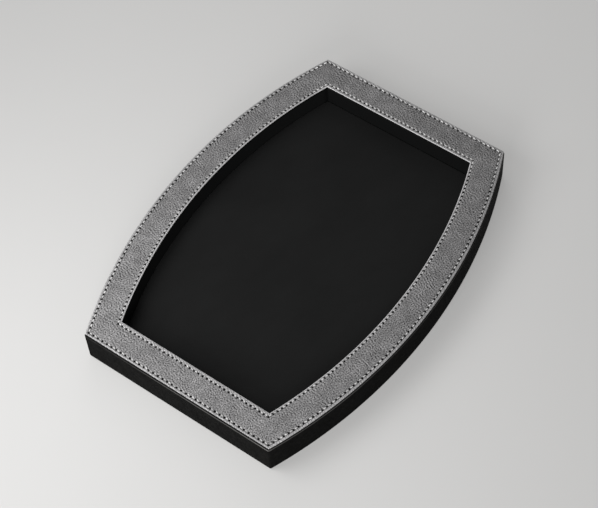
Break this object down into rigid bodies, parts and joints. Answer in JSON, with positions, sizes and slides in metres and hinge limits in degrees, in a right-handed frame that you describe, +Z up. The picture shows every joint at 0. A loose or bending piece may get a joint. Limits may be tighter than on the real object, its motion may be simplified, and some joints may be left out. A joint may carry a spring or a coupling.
{
  "type": "jewelry tray",
  "caption": "Barrel-shaped jewelry display tray with a wide stitched leatherette frame round a recessed, padded microfibre floor.",
  "frame": {"origin": "centre of the underside, on the felt that the tray stands on", "axes": "+X along the tray's length, +Y towards the long side that is at the back, +Z up out of the recess"},
  "size_m": [0.3, 0.2222, 0.0302],
  "materials": {
    "grey_leatherette": "matte",
    "black_leatherette": "matte",
    "black_microfibre": "matte",
    "pale_thread": "satin",
    "fibreboard": "matte",
    "beech": "satin",
    "grey_card": "matte",
    "grey_foam": "matte",
    "black_felt": "matte"
  },
  "bodies": {
    "root": {"frame_cover": "grey_leatherette", "frame_board": "grey_card", "outer_stitching": "pale_thread", "inner_stitching": "pale_thread", "outer_wrap": "black_leatherette", "inner_lining": "black_microfibre", "end_rail_left": "fibreboard", "end_rail_right": "fibreboard", "side_rail_front": "fibreboard", "side_rail_back": "fibreboard", "corner_splines": "beech", "base_board": "fibreboard", "pad_cover": "black_microfibre", "pad_foam": "grey_foam", "pad_board": "grey_card", "bottom_felt": "black_felt"}
  },
  "joints": []
}
